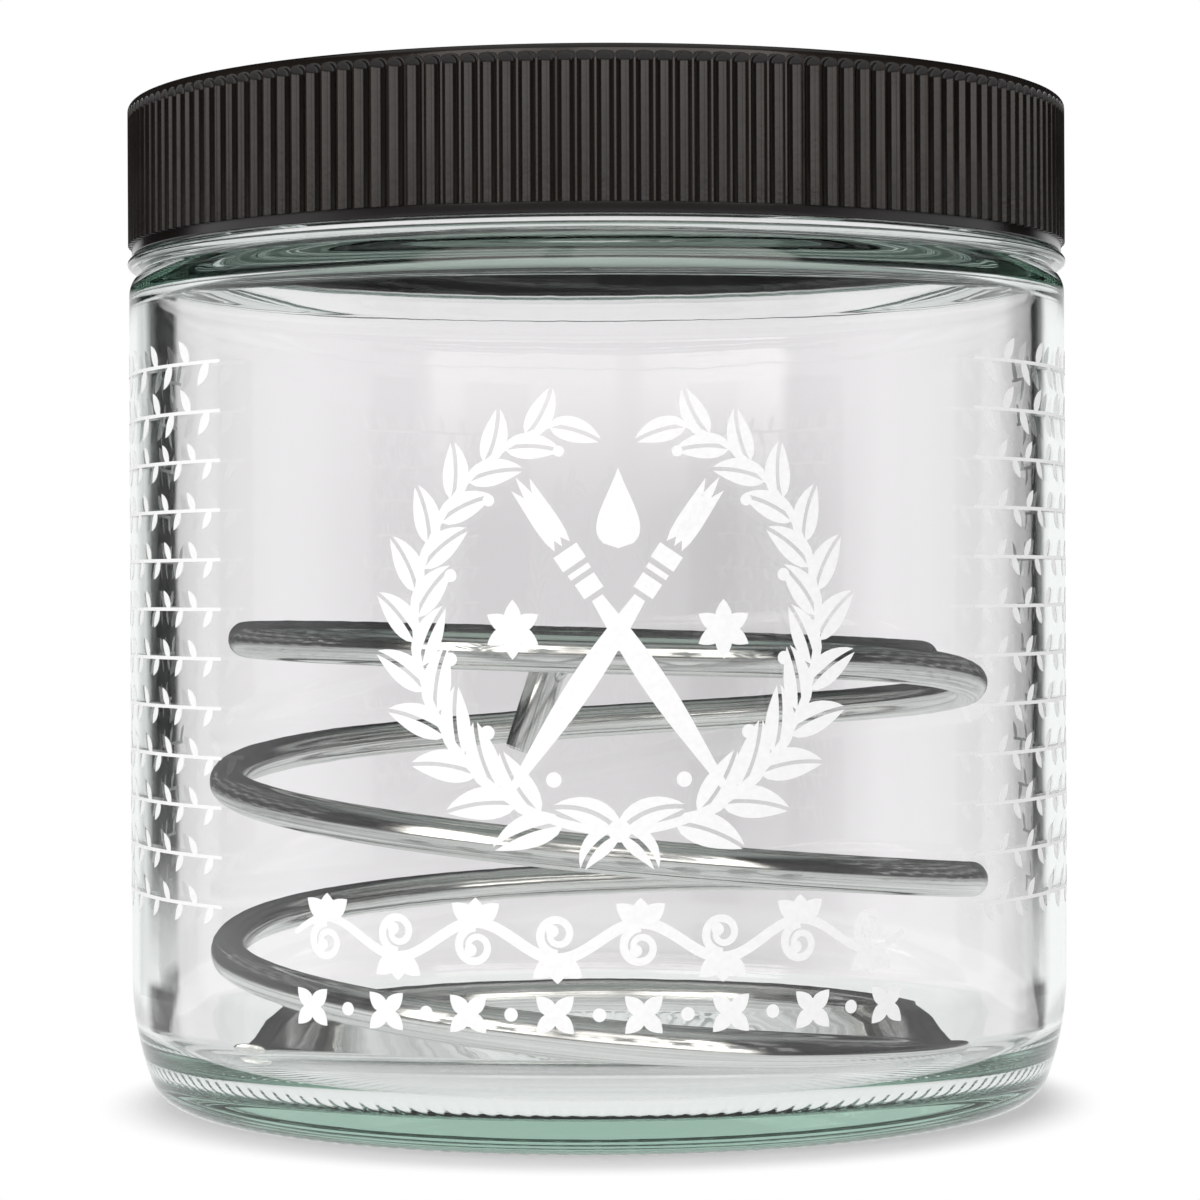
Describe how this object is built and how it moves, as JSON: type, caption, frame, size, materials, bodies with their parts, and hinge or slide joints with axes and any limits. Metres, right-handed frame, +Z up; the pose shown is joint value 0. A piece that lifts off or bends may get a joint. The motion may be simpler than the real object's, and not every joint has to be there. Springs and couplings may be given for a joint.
{
  "type": "brush cleaning tank",
  "caption": "Straight-sided glass jar with a ribbed screw lid and a loose wire coil inside, whose flat spiral top is rubbed with a paint brush under the cleaning fluid.",
  "frame": {"origin": "centre of the jar's base, on the plane that it stands on", "axes": "+Z up along the axis of the jar and the lid's thread; -Y faces the picture's camera, +X is to its right"},
  "size_m": [0.092, 0.092, 0.0969],
  "materials": {
    "jar_glass": "clear moulded soda-lime glass with a faint green cast, printed in white ceramic ink",
    "lid_plastic": "black moulded polypropylene with a satin sheen",
    "pulp_board": "grey-brown pressed pulp board",
    "liner_film": "white solvent-proof film",
    "coil_wire": "bright drawn aluminium wire"
  },
  "bodies": {
    "jar": {"glass_jar": "jar_glass"},
    "liner": {"liner_board": "pulp_board", "liner_facing": "liner_film"},
    "lid": {"screw_lid": "lid_plastic"},
    "coil": {"wire_coil": "coil_wire"}
  },
  "joints": [
    {"name": "lid_turn", "type": "hinge", "parent": "liner", "child": "lid", "pos_m": [0, 0, 0.0895], "axis": [0, 0, 1], "range_deg": [0, 1440]},
    {"name": "lid_lift", "type": "slide", "parent": "jar", "child": "liner", "axis": [0, 0, 1], "range_m": [0, 0.02033]},
    {"name": "coil_lift", "type": "slide", "parent": "jar", "child": "coil", "axis": [0, 0, 1], "range_m": [0, 0.044]}
  ],
  "couplings": [
    {"joint": "lid_lift", "follows": "lid_turn", "m_per_rad": 0.00080851}
  ]
}
